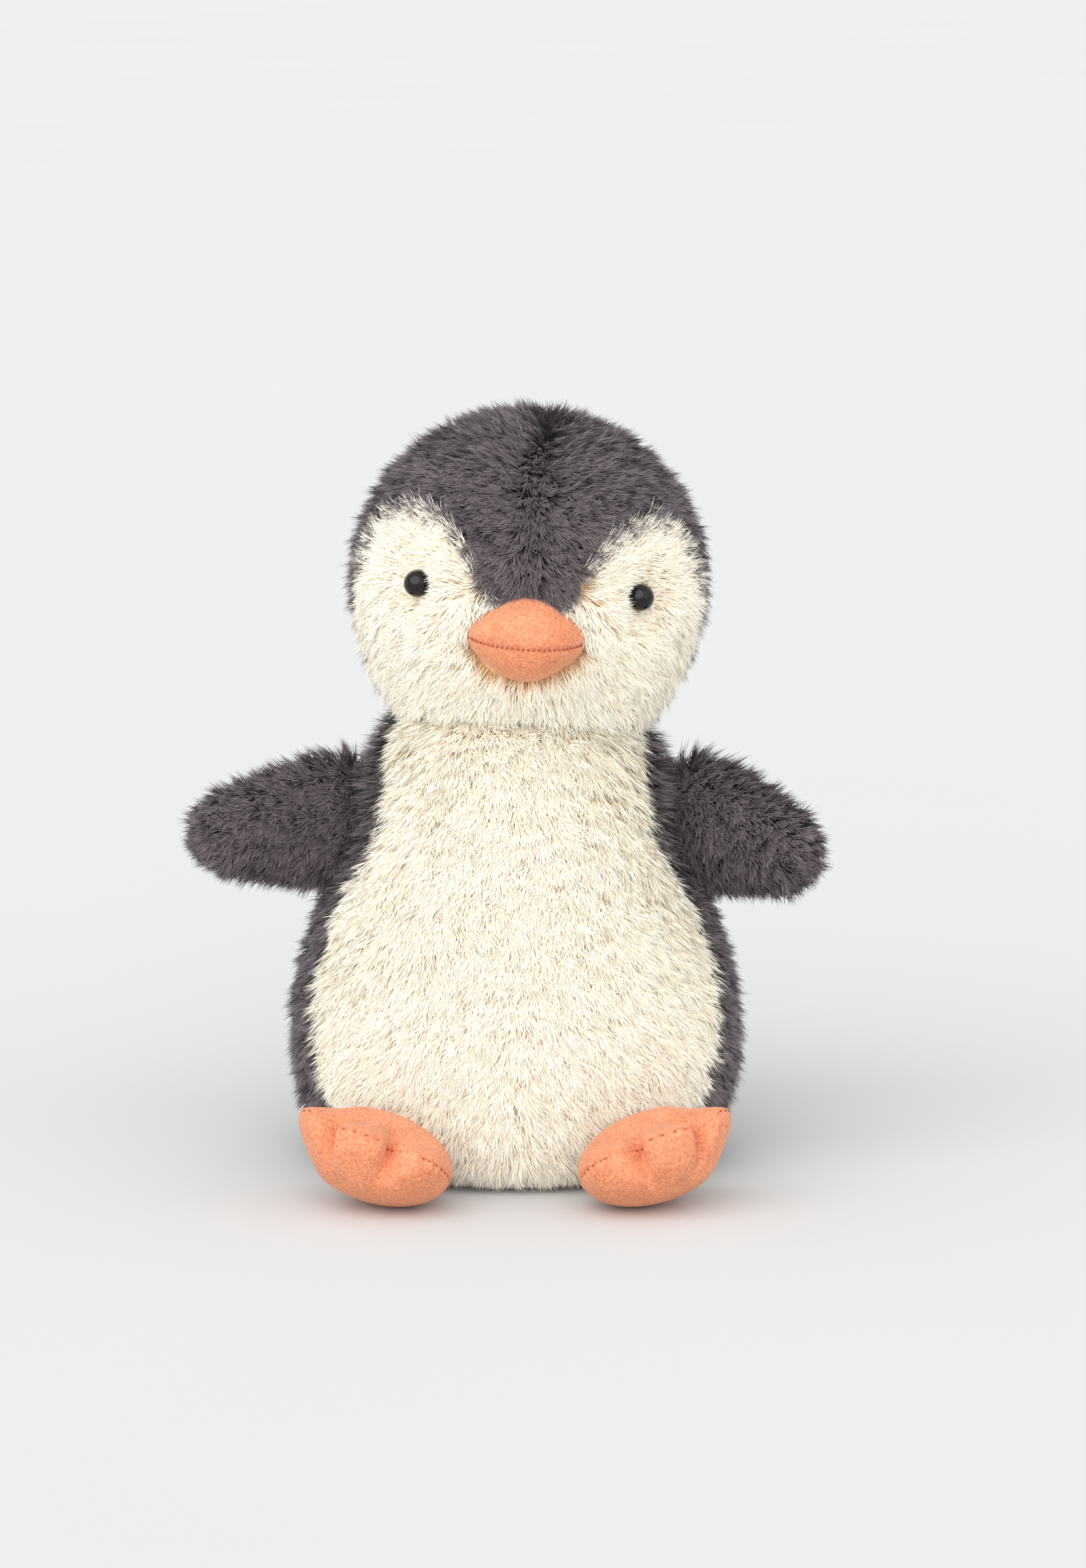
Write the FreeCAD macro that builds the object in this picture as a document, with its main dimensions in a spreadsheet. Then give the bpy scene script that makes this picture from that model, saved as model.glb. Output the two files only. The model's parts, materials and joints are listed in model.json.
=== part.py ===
"""Plush penguin, seated, as an assembly of sewn panels, stuffing, eyes and beans.

Millimetres. +Z is up, -Y is the way the penguin faces, +X is to the right of somebody who looks
at its face. The origin is the middle of the flat base that it sits on. Every outer surface is the
mean level of the pile, and each panel solid is the fabric backing and its pile together.
"""
import FreeCAD
import Part
import math
import os

from FreeCAD import Placement, Rotation, Vector

SIZES = [
    ("body_half_width", 66.0, "half of the widest part of the body"),
    ("body_half_depth", 57.0, "half of the body from belly to back"),
    ("neck_height", 110.0, "height of the point that the head turns and nods about"),
    ("neck_radius", 41.5, "ball of the neck that the head sits on"),
    ("collar_rise", 8.0, "height above the neck's pivot where the body gives way to the ball"),
    ("plush_thickness", 5.0, "plush fabric with its pile, as one layer"),
    ("suede_thickness", 1.2, "microsuede of the beak and feet"),
    ("gap", 0.4, "running gap between pieces that move past each other"),
    ("loose", 0.2, "gap between a fabric layer and the stuffing under it"),
    ("base_thickness", 6.0, "height of the base panel with its turned-up edge"),
    ("head_half_width", 51.5, "half of the head from side to side"),
    ("head_half_depth", 47.5, "half of the head from face to back"),
    ("head_rise", 62.5, "height of the head's middle above the neck's pivot"),
    ("crown_height", 49.5, "height of the crown above the head's middle"),
    ("jaw_height", 59.0, "reach of the lower head's curve below its middle"),
    ("head_roll", 3.6, "lean of the head to its left, in degrees"),
    ("head_pitch", 5.0, "lean of the head backwards, in degrees"),
    ("wad_radius", 30.0, "inner radius of the wad of stuffing in the neck"),
    ("wad_angle", 35.0, "half angle of the cone that bounds the wad, in degrees"),
    ("eye_radius", 3.9, "safety eye's dome"),
    ("eye_spread", 33.0, "half of the distance between the eyes"),
    ("eye_rise", -2.0, "height of the eyes above the head's middle"),
    ("shank_radius", 1.4, "safety eye's shank"),
    ("shank_length", 11.0, "safety eye's shank, from the dome"),
    ("washer_radius", 5.0, "safety eye's locking washer"),
    ("washer_thickness", 1.6, "safety eye's locking washer"),
    ("beak_half_width", 17.0, "half of the beak from corner to corner"),
    ("beak_half_height", 12.6, "half of the beak from top to bottom"),
    ("beak_reach", 17.0, "beak in front of the middle of its base"),
    ("beak_rise", -15.2, "height of the beak above the head's middle"),
    ("mouth_droop", 8.5, "slope of the mouth down towards the front, in degrees"),
    ("beak_setback", 41.0, "distance of the beak's base in front of the head's middle"),
    ("cheek_half_width", 20.5, "half of a cheek patch across its middle"),
    ("cheek_half_height", 35.5, "half of a cheek patch from top to bottom"),
    ("cheek_offset", 28.0, "distance of a cheek patch's middle from the face's middle"),
    ("cheek_rise", -17.5, "height of a cheek patch's middle above the head's middle"),
    ("cheek_lean", 8.0, "lean of a cheek patch's top away from the face's middle, in degrees"),
    ("shoulder_x", 54.0, "distance of a flipper's hinge from the middle of the body"),
    ("shoulder_y", -3.0, "place of a flipper's hinge between belly and back"),
    ("shoulder_z", 99.0, "height of a flipper's hinge"),
    ("flipper_half_height", 16.5, "half of the flipper from edge to edge at its root"),
    ("flipper_half_thickness", 12.0, "half of the flipper from front to back at its root"),
    ("flipper_length", 41.0, "flipper from its hinge to its tip"),
    ("shoulder_room", 20.0, "radius of the hollow that a flipper's root turns in"),
    ("foot_half_width", 23.0, "half of the foot from inner toe to outer toe"),
    ("foot_half_length", 20.0, "half of the foot from heel to toes"),
    ("foot_half_height", 13.5, "half of the foot's thickness"),
    ("foot_x", 40.0, "distance of a foot's middle from the middle of the body"),
    ("foot_y", -66.0, "place of a foot's middle in front of the body's middle"),
    ("foot_toe_out", 16.0, "turn of a foot away from the middle, in degrees"),
    ("foot_roll", 14.0, "lift of a foot's outer side, in degrees"),
    ("foot_tilt", 30.0, "lift of a foot's toes, in degrees"),
    ("pouch_half_width", 44.0, "half of the bean pouch from side to side"),
    ("pouch_height", 22.0, "bean pouch from bottom to top"),
    ("pouch_thickness", 1.0, "lining fabric of the bean pouch"),
]

# Height of a body section as a share of the neck's height, and its fullness: 0 is as wide as the
# neck's ball, 1 as wide as the body gets.
BODY_SECTIONS = [
    (0.0, 0.25),
    (0.045, 0.58),
    (0.11, 0.82),
    (0.20, 0.94),
    (0.345, 1.0),
    (0.48, 0.93),
    (0.60, 0.78),
    (0.765, 0.52),
    (0.93, 0.24),
]

# Distance of a flipper section from the hinge as a share of the length, and its size as a share of
# the root's.
FLIPPER_SECTIONS = [
    (0.0, 0.99),
    (0.40, 0.94),
    (0.75, 0.80),
    (0.93, 0.60),
    (1.0, 0.30),
]

FAR = 300.0
CORE = "sizes.plush_thickness + sizes.loose"

POLES_ON_X = Rotation(Vector(0, 1, 0), Vector(0, 0, 1), Vector(1, 0, 0), "XYZ")
POLES_ON_Y = Rotation(Vector(0, 0, -1), Vector(-1, 0, 0), Vector(0, 1, 0), "XYZ")

doc = FreeCAD.newDocument("penguin")
sheet = doc.addObject("Spreadsheet::Sheet", "sizes")
for row, (alias, value, meaning) in enumerate(SIZES, start=1):
    sheet.set(f"A{row}", meaning)
    sheet.set(f"B{row}", str(value))
    sheet.setAlias(f"B{row}", alias)
doc.recompute()

parts = []


def size(alias):
    """The value of one driving dimension."""
    return float(sheet.get(alias))


def bound(kind, name, **formulas):
    """A document object whose properties follow formulas over the sheet's cells."""
    item = doc.addObject(kind, name)
    for prop, formula in formulas.items():
        item.setExpression(prop.replace("__", "."), formula)
    return item


def ellipsoid(name, half_x, half_y, half_z, centre=Vector()):
    """An ellipsoid whose poles lie on Z, for pieces that are split across their height."""
    item = bound("Part::Ellipsoid", name, Radius2=half_x, Radius3=half_y, Radius1=half_z)
    item.Placement = Placement(centre, Rotation())
    return item


def side_poled(name, half_x, half_y, half_z, centre=Vector(), share=360, flip=0):
    """An ellipsoid whose poles lie on X, for pieces split down their middle, or its upper half."""
    item = bound("Part::Ellipsoid", name, Radius1=half_x, Radius2=half_y, Radius3=half_z)
    item.Angle3 = share
    item.Placement = Placement(centre, Rotation(Vector(1, 0, 0), flip).multiply(POLES_ON_X))
    return item


def ball(name, radius, centre):
    item = bound("Part::Sphere", name, Radius=radius)
    item.Placement = Placement(centre, Rotation())
    return item


def rod(name, radius, length, placement):
    item = bound("Part::Cylinder", name, Radius=radius, Height=length)
    item.Placement = placement
    return item


def block(name, corner, placement=None):
    """A block as large as the whole toy, from a corner, that keeps one side of a seam."""
    item = doc.addObject("Part::Box", name)
    item.Length = FAR
    item.Width = FAR
    item.Height = FAR
    start = Placement(corner, Rotation())
    item.Placement = placement.multiply(start) if placement else start
    return item


def fuse(name, *shapes):
    item = doc.addObject("Part::MultiFuse", name)
    item.Shapes = list(shapes)
    return item


def common(name, *shapes):
    item = doc.addObject("Part::MultiCommon", name)
    item.Shapes = list(shapes)
    return item


def cut(name, base, *tools):
    """The base less every tool."""
    item = base
    for number, tool in enumerate(tools, start=1):
        step = doc.addObject("Part::Cut", name if number == len(tools) else f"{name}_{number}")
        step.Base = item
        step.Tool = tool
        item = step
    return item


def part(item, label, placement=None):
    """Makes an object a sub-part, under its own name, at its place in the toy."""
    item.Label = label
    if placement:
        item.Placement = placement.multiply(item.Placement)
    parts.append(item)
    return item


def loft(name, sections):
    item = doc.addObject("Part::Loft", name)
    item.Sections = sections
    item.Solid = True
    item.Ruled = False
    return item


# ---------------------------------------------------------------- places

NECK = Vector(0, 0, size("neck_height"))
HEAD_TURN = Rotation(Vector(0, 1, 0), size("head_roll")).multiply(
    Rotation(Vector(1, 0, 0), -size("head_pitch")))
HEAD = Placement(NECK, HEAD_TURN)


# Forward sweep and droop of the flippers as they rest, in degrees: -1 is the penguin's right side.
SHOULDER_TURNS = {-1: (18, -2), 1: (38, 5)}


def shoulder(side):
    """A flipper's hinge: its own X runs out along the flipper and its Y is the hinge's axis."""
    forward, droop = SHOULDER_TURNS[side]
    heading = 180 + forward if side < 0 else -forward
    turn = Rotation(Vector(0, 0, 1), heading).multiply(Rotation(Vector(0, 1, 0), droop))
    return Placement(Vector(side * size("shoulder_x"), size("shoulder_y"), size("shoulder_z")), turn)


def ankle(side):
    """A foot's middle: its own -Y runs to the toes and its X across them."""
    turn = Rotation(Vector(0, 0, 1), side * size("foot_toe_out"))
    turn = turn.multiply(Rotation(Vector(0, 1, 0), -side * size("foot_roll")))
    turn = turn.multiply(Rotation(Vector(1, 0, 0), -size("foot_tilt")))
    centre = Vector(side * size("foot_x"), size("foot_y"), 0)
    lowest = math.sqrt(sum((turn.multVec(axis) * length).z ** 2 for axis, length in (
        (Vector(1, 0, 0), size("foot_half_width")),
        (Vector(0, 1, 0), size("foot_half_length")),
        (Vector(0, 0, 1), size("foot_half_height")))))
    centre.z = lowest + size("gap")
    return Placement(centre, turn)


# ---------------------------------------------------------------- body

def body_solid(name, inset):
    """The pear of the body with the neck's ball on it, moved in by an inset."""
    rings = []
    for number, (share, fullness) in enumerate(BODY_SECTIONS):
        rings.append(bound(
            "Part::Ellipse", f"{name}_ring_{number}",
            MajorRadius=f"sizes.neck_radius + (sizes.body_half_width - sizes.neck_radius)"
                        f" * {fullness} - ({inset})",
            MinorRadius=f"sizes.neck_radius + (sizes.body_half_depth - sizes.neck_radius)"
                        f" * {fullness} - ({inset})",
            Placement__Base__z=f"{inset} + (sizes.neck_height - ({inset})) * {share}"))
    rings.append(bound(
        "Part::Ellipse", f"{name}_collar",
        MajorRadius=f"sizes.neck_radius - ({inset}) - 0.4",
        MinorRadius=f"sizes.neck_radius - ({inset}) - 0.5",
        Placement__Base__z="sizes.neck_height + sizes.collar_rise"))
    dome = ball(f"{name}_ball", f"sizes.neck_radius - ({inset})", NECK)
    dome.setExpression("Angle1", f"asin(sizes.collar_rise / (sizes.neck_radius - ({inset})))")
    return fuse(name, loft(f"{name}_pear", rings), dome)


def neck_tools():
    """The wad of stuffing in the neck, and the hollow that it turns in."""
    def cone(name, slack):
        item = doc.addObject("Part::Cone", name)
        item.Radius1 = 0
        item.setExpression("Height", "sizes.neck_radius + 5")
        item.setExpression(
            "Radius2", f"(sizes.neck_radius + 5) * tan(sizes.wad_angle * 1deg + {slack}deg)")
        item.Placement = Placement(NECK, Rotation())
        return item

    wad = cut("wad",
              common("wad_cap", cone("wad_cone", 0), ball("wad_top", "sizes.neck_radius", NECK)),
              ball("wad_bottom", "sizes.wad_radius", NECK))
    hollow = cut("neck_hollow", cone("hollow_cone", 0.7),
                 ball("hollow_bottom", "sizes.wad_radius - sizes.gap", NECK))
    return wad, hollow


def side_seam(name, front):
    """Everything in front of the side seam, or behind it: the seam leans back as it climbs."""
    lean = Rotation(Vector(1, 0, 0), -13.5)
    hinge = Placement(Vector(0, -3, size("neck_height") + 22), lean)
    return block(name, Vector(-FAR / 2, -FAR if front else 0, -FAR / 2), hinge)


def torso(pockets):
    outer = body_solid("body_outer", "0")
    inner = body_solid("body_inner", "sizes.plush_thickness")
    wad, hollow = neck_tools()
    shell = cut("body_shell", outer, inner, hollow, *pockets)
    stuffing_core = body_solid("body_core", CORE)
    above_base = block("above_base", Vector(-FAR / 2, -FAR / 2, size("base_thickness")))
    halves = {
        "left": block("toy_left", Vector(0, -FAR / 2, -FAR / 2)),
        "right": block("toy_right", Vector(-FAR, -FAR / 2, -FAR / 2)),
    }
    sides = {"belly": side_seam("front_of_seam", True), "back": side_seam("behind_seam", False)}
    for panel, region in sides.items():
        for half, side in halves.items():
            part(common(f"{panel}_{half}", shell, above_base, region, side), f"{panel}_{half}")
    below = block("below_base_edge", Vector(-FAR / 2, -FAR / 2, size("base_thickness") - FAR))
    part(common("base_panel", shell, below), "base_panel")

    pouch = pouch_solid("pouch_outer", "0")
    beans = pouch_solid("beans_solid", "sizes.pouch_thickness")
    part(cut("bean_pouch", pouch, pouch_solid("pouch_inner", "sizes.pouch_thickness - 0.001")),
         "bean_pouch")
    part(beans, "beans")
    room = pouch_solid("pouch_room", "-sizes.loose")
    part(cut("body_stuffing", stuffing_core, hollow, room, *pockets), "body_stuffing")
    part(wad, "neck_stuffing")


def pouch_solid(name, inset):
    """The flattened pouch of beans that weighs the base."""
    return ellipsoid(name, f"sizes.pouch_half_width - ({inset})",
                     f"sizes.pouch_half_width * 0.85 - ({inset})",
                     f"sizes.pouch_height / 2 - ({inset})",
                     centre=Vector(0, 0, size("plush_thickness") + size("pouch_height") / 2 + 2))


# ---------------------------------------------------------------- head

def head_solid(name, inset):
    """The head about the neck's pivot: a round crown on a longer jaw."""
    lift = Vector(0, 0, size("head_rise"))
    width = f"sizes.head_half_width - ({inset})"
    depth = f"sizes.head_half_depth - ({inset})"
    crown = side_poled(f"{name}_crown", width, depth, f"sizes.crown_height - ({inset})",
                       centre=lift, share=180)
    jaw = side_poled(f"{name}_jaw", width, depth, f"sizes.jaw_height - ({inset})",
                     centre=lift, share=180, flip=180)
    return fuse(name, crown, jaw)


def beak_solid(name, inset):
    return ellipsoid(name, f"sizes.beak_half_width - ({inset})", f"sizes.beak_reach - ({inset})",
                     f"sizes.beak_half_height - ({inset})", centre=beak_middle())


def beak_middle():
    return Vector(0, -size("beak_setback"), size("head_rise") + size("beak_rise"))


def eye_frame(side):
    """The middle of an eye's dome on the face, with its own Z pointing into the head."""
    x = size("eye_spread")
    z = size("eye_rise")
    width, depth = size("head_half_width"), size("head_half_depth")
    height = size("crown_height") if z > 0 else size("jaw_height")
    y = -depth * math.sqrt(1 - (x / width) ** 2 - (z / height) ** 2)
    inward = Vector(-x / width ** 2 * side, -y / depth ** 2, -z / height ** 2)
    inward.normalize()
    point = Vector(side * x, y, z + size("head_rise")) + inward * 1.5
    return Placement(point, Rotation(Vector(0, 0, 1), inward))


def eye(side, label):
    """A domed safety eye with its shank through the cheek, and the washer that locks it."""
    frame = eye_frame(side)
    dome = ball(f"{label}_dome", "sizes.eye_radius", frame.Base)
    shank = rod(f"{label}_shank", "sizes.shank_radius", "sizes.shank_length", frame)
    part(fuse(label, dome, shank), label, HEAD)
    seat = Placement(frame.Base + frame.Rotation.multVec(Vector(0, 0, 7.5)), frame.Rotation)
    disc = rod(f"{label}_washer_disc", "sizes.washer_radius", "sizes.washer_thickness", seat)
    bore = rod(f"{label}_washer_bore", "sizes.shank_radius + 0.05", "sizes.shank_length", frame)
    part(cut(f"{label}_washer", disc, bore), f"{label}_washer", HEAD)
    room_dome = ball(f"{label}_room_dome", "sizes.eye_radius + sizes.loose", frame.Base)
    room_shank = rod(f"{label}_room_shank", "sizes.shank_radius + sizes.loose",
                     "sizes.shank_length + 1", frame)
    wide = rod(f"{label}_room_disc", "sizes.washer_radius + sizes.loose",
               "sizes.washer_thickness + 2 * sizes.loose",
               Placement(seat.Base - frame.Rotation.multVec(Vector(0, 0, size("loose"))),
                         frame.Rotation))
    return room_dome, room_shank, wide


def cheek_prism(side, name):
    """The outline of a cheek patch, carried through the face."""
    outline = bound("Part::Ellipse", f"{name}_outline",
                    MajorRadius="sizes.cheek_half_height", MinorRadius="sizes.cheek_half_width")
    outline.Placement = Placement(
        Vector(side * size("cheek_offset"), 0, size("head_rise") + size("cheek_rise")),
        Rotation(Vector(0, 1, 0), side * size("cheek_lean")).multiply(
            Rotation(Vector(0, 0, 1), Vector(1, 0, 0), Vector(0, 1, 0), "XYZ")))
    prism = doc.addObject("Part::Extrusion", name)
    prism.Base = outline
    prism.Dir = Vector(0, -1, 0)
    prism.LengthFwd = FAR
    prism.Solid = True
    return prism


def chin_block():
    """The part of the face under the beak, where both cheeks meet."""
    item = doc.addObject("Part::Box", "chin")
    item.setExpression("Length", "2 * sizes.cheek_offset")
    item.Width = FAR
    item.Height = FAR
    item.Placement.Base = Vector(-size("cheek_offset"), -FAR,
                                 size("head_rise") + size("beak_rise") - FAR)
    return item


def head():
    cup = ball("neck_cup", "sizes.neck_radius + sizes.gap", Vector())
    outer = head_solid("head_outer", "0")
    shell = cut("head_shell", outer, head_solid("head_inner", "sizes.plush_thickness"), cup,
                beak_solid("beak_room", "0"))
    rooms = {side: eye(side, label) for side, label in ((-1, "eye_right"), (1, "eye_left"))}
    cheeks = {side: cheek_prism(side, f"cheek_prism_{name}")
              for side, name in ((-1, "right"), (1, "left"))}
    face = fuse("face_region", cheeks[-1], cheeks[1], chin_block())
    sides = {
        "left": (1, Vector(0, -FAR / 2, -FAR / 2)),
        "right": (-1, Vector(-FAR, -FAR / 2, -FAR / 2)),
    }
    for name, (side, corner) in sides.items():
        half = common(f"head_{name}_half", shell, block(f"head_{name}", corner))
        part(cut(f"hood_{name}", half, face), f"hood_{name}", HEAD)
        cheek = common(f"cheek_{name}_whole", half, face)
        part(cut(f"cheek_{name}", cheek, rooms[side][0], rooms[side][1]), f"cheek_{name}", HEAD)
    core = head_solid("head_core", CORE)
    every_room = [room for pair in rooms.values() for room in pair]
    part(cut("head_stuffing", core, cup, beak_solid("beak_back", "-sizes.loose"), *every_room),
         "head_stuffing", HEAD)


def beak():
    """Two panels of suede that meet at the mouth, round a plug of stuffing."""
    shell = cut("beak_shell", beak_solid("beak_outer", "0"),
                beak_solid("beak_inner", "sizes.suede_thickness"))
    mouth = Placement(beak_middle(), Rotation(Vector(1, 0, 0), size("mouth_droop")))
    above = block("above_mouth", Vector(-FAR / 2, -FAR / 2, 0), mouth)
    below = block("below_mouth", Vector(-FAR / 2, -FAR / 2, -FAR), mouth)
    part(common("beak_upper", shell, above), "beak_upper", HEAD)
    part(common("beak_lower", shell, below), "beak_lower", HEAD)
    part(beak_solid("beak_stuffing", "sizes.suede_thickness + sizes.loose"), "beak_stuffing", HEAD)


# ---------------------------------------------------------------- flippers

def flipper_solid(name, inset):
    """A paddle along X on a half-round root that can turn about the hinge's axis, Y."""
    outward = Rotation(Vector(0, 1, 0), 90)
    height = f"(sizes.flipper_half_height - ({inset}))"
    thickness = f"(sizes.flipper_half_thickness - ({inset}))"
    rings = []
    for number, (share, scale) in enumerate(FLIPPER_SECTIONS):
        ring = bound("Part::Ellipse", f"{name}_ring_{number}",
                     MajorRadius=f"{height} * {scale}", MinorRadius=f"{thickness} * {scale}")
        ring.Placement = Placement(Vector(), outward)
        ring.setExpression("Placement.Base.x", f"(sizes.flipper_length - ({inset})) * {share}")
        rings.append(ring)
    root = bound("Part::Ellipsoid", f"{name}_root",
                 Radius1=thickness, Radius2=height, Radius3=height)
    root.Angle3 = 180
    root.Placement = Placement(Vector(), POLES_ON_Y)
    return fuse(name, loft(f"{name}_paddle", rings), root)


def shoulder_room(side, name):
    """The hollow in the side of the body that a flipper's root turns in, round about the hinge."""
    item = bound("Part::Cylinder", name, Radius="sizes.shoulder_room",
                 Height="2 * (sizes.flipper_half_thickness + sizes.gap)")
    along_hinge = Placement(Vector(0, size("flipper_half_thickness") + size("gap"), 0),
                            Rotation(Vector(1, 0, 0), 90))
    item.Placement = shoulder(side).multiply(along_hinge)
    return item


def flipper(side, label):
    placement = shoulder(side)
    shell = cut(f"{label}_shell", flipper_solid(f"{label}_outer", "0"),
                flipper_solid(f"{label}_inner", "sizes.plush_thickness"))
    # A flipper's own X points outwards on both sides, so its own Y points forwards on one only.
    forward = block(f"{label}_minus_y", Vector(-FAR / 2, -FAR, -FAR / 2))
    rear = block(f"{label}_plus_y", Vector(-FAR / 2, 0, -FAR / 2))
    if side < 0:
        forward, rear = rear, forward
    part(common(f"{label}_front", shell, forward), f"{label}_front", placement)
    part(common(f"{label}_back", shell, rear), f"{label}_back", placement)
    part(flipper_solid(f"{label}_stuffing", CORE), f"{label}_stuffing", placement)


# ---------------------------------------------------------------- feet

def foot_solid(name, inset):
    return ellipsoid(name, f"sizes.foot_half_width - ({inset})",
                     f"sizes.foot_half_length - ({inset})", f"sizes.foot_half_height - ({inset})")


def foot(side, label):
    """A stuffed suede foot: an upper and a sole that meet round the toes."""
    placement = ankle(side)
    shell = cut(f"{label}_shell", foot_solid(f"{label}_outer", "0"),
                foot_solid(f"{label}_inner", "sizes.suede_thickness"))
    above = block(f"{label}_above", Vector(-FAR / 2, -FAR / 2, 0))
    below = block(f"{label}_below", Vector(-FAR / 2, -FAR / 2, -FAR))
    part(common(f"{label}_upper", shell, above), f"{label}_upper", placement)
    part(common(f"{label}_sole", shell, below), f"{label}_sole", placement)
    part(foot_solid(f"{label}_stuffing", "sizes.suede_thickness + sizes.loose"),
         f"{label}_stuffing", placement)


def main():
    torso([shoulder_room(-1, "room_right"), shoulder_room(1, "room_left")])
    head()
    beak()
    for side, name in ((-1, "right"), (1, "left")):
        flipper(side, f"flipper_{name}")
        foot(side, f"foot_{name}")
    doc.recompute()
    write()


def write():
    """Checks every object, then writes each sub-part to its own file."""
    for item in doc.Objects:
        if "Invalid" in item.State or "Error" in item.State:
            raise RuntimeError(f"{item.Label} did not recompute: {item.State}")
    os.makedirs("parts", exist_ok=True)
    for item in parts:
        if item.Shape.isNull() or not item.Shape.isValid() or not item.Shape.Solids:
            raise RuntimeError(f"{item.Label} has no valid solid")
    for item in parts:
        item.Shape.exportStep(f"parts/{item.Label}.step")
        box = item.Shape.BoundBox
        print(f"{item.Label:24s} {len(item.Shape.Solids)} {item.Shape.Volume:9.0f} "
              f"x {box.XMin:6.1f} {box.XMax:6.1f} y {box.YMin:6.1f} {box.YMax:6.1f} "
              f"z {box.ZMin:6.1f} {box.ZMax:6.1f}")


main()
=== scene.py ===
import json
import math

import bmesh
import bpy
import numpy as np
from mathutils import Euler, Matrix, Vector


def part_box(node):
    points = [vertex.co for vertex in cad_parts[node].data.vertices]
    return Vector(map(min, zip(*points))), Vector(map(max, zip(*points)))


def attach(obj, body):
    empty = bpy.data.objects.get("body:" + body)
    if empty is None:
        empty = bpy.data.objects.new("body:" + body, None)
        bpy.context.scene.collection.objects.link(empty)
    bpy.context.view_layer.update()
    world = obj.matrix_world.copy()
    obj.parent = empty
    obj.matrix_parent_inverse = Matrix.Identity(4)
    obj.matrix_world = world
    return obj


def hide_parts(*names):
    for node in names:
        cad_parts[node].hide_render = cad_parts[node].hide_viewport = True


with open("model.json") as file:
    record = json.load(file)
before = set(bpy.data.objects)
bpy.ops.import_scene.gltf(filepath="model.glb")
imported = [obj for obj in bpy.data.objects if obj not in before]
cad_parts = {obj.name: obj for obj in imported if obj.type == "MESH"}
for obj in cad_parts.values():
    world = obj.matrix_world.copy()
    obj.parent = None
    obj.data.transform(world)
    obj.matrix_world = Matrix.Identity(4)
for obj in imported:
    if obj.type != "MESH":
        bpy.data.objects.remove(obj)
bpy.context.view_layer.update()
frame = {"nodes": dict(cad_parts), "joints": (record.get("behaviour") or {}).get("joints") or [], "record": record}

JOINTS = {joint["name"]: joint for joint in frame["joints"]}
SLOTS = {part["node"]: part["material_slot"] for part in frame["record"]["subparts"]}
RANDOM = np.random.default_rng(20)

# ---------------------------------------------------------------- sizes, in metres

NECK = np.array(JOINTS["head_turn"]["pos_m"])
NECK_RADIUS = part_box("neck_stuffing")[1].z - NECK[2]
BODY_HALF_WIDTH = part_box("back_left")[1].x
BODY_HALF_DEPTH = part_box("back_left")[1].y
COLLAR = NECK[2] + 0.008
BASE_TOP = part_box("base_panel")[1].z
# Depth of the pile over the backing, and the backing's height over the floor.
PILE = 0.0043
BASE_LEVEL = PILE * 0.6
FLOOR_CLEARANCE = 0.0004
# Height of the neck's ball that the body's panels cover, as a share of its radius.
NECK_COVERED = 0.72

# Height as a share of the neck's height, and fullness from the neck's width (0) to the widest (1).
BODY_SECTIONS = [(0.0, 0.25), (0.045, 0.58), (0.11, 0.82), (0.20, 0.94), (0.345, 1.0),
                 (0.48, 0.93), (0.60, 0.78), (0.765, 0.52), (0.93, 0.24), (1.073, -0.02)]

# The side seam: its lean, and how it passes the neck and comes forward at the flippers.
SEAM_LEAN = math.radians(13.5)
SEAM_ABOVE_NECK = 0.022
SEAM_FORWARD = 0.003
SEAM_BUMP = 0.013
SEAM_BUMP_DROP = 0.007
SEAM_BUMP_SPREAD = 0.020

HEAD_HALF_WIDTH = 0.0515
HEAD_HALF_DEPTH = 0.0475
HEAD_RISE = 0.0625
CROWN_HEIGHT = 0.0495
JAW_HEIGHT = 0.059
HEAD_ROLL = math.radians(3.6)
HEAD_PITCH = math.radians(5.0)

BEAK_HALF_WIDTH = 0.017
BEAK_REACH = 0.017
BEAK_HALF_HEIGHT = 0.0126
BEAK_SIZE = np.array([BEAK_HALF_WIDTH, BEAK_REACH, BEAK_HALF_HEIGHT])
BEAK_MIDDLE = np.array([0, -0.041, HEAD_RISE - 0.0152])
MOUTH_DROOP = math.radians(8.5)
# Shares of the beak's size inside which there is no backing, cheek pile or hood pile.
NO_BACKING = 0.8
NO_CHEEK_PILE = 0.96
NO_HOOD_PILE = 0.92

CHEEK_HALF_WIDTH = 0.0205
CHEEK_HALF_HEIGHT = 0.0355
CHEEK_OFFSET = 0.028
# How far the outer edge lies inside the CAD's, so that the hood shows beside the cheek.
CHEEK_SHORTFALL = 0.003
CHEEK_MIDDLE = HEAD_RISE - 0.0175
CHEEK_LEAN = math.radians(8)

EYE_RADIUS = 0.0039
# Distance from an eye's middle inside which there is no pile, and the head's from the neck's ball.
EYE_CLEAR = 0.0048
NECK_GAP = 0.0005

FLIPPER_HALF_HEIGHT = 0.0165
FLIPPER_HALF_THICKNESS = 0.012
FLIPPER_LENGTH = 0.041
# The rounded tip: where it starts, its share of v, and how far it stands out.
TIP_FROM = 0.92
TIP_SHARE = 0.08
TIP_BULGE = 0.0015
# How much taller the upper edge is at the root, and where along the flipper that ends.
ROOT_RAISED = 0.50
ROOT_RAISED_FROM, ROOT_RAISED_TO = -0.006, 0.034
# Distance from the hinge as a share of the length, and size as a share of the root's.
FLIPPER_SECTIONS = [(0.0, 0.99), (0.40, 0.94), (0.75, 0.80), (0.93, 0.60), (1.0, 0.36)]
# Forward sweep and droop of the flippers as they rest, in degrees.
FLIPPER_TURNS = {"right": (18, -2), "left": (38, 5)}

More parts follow.
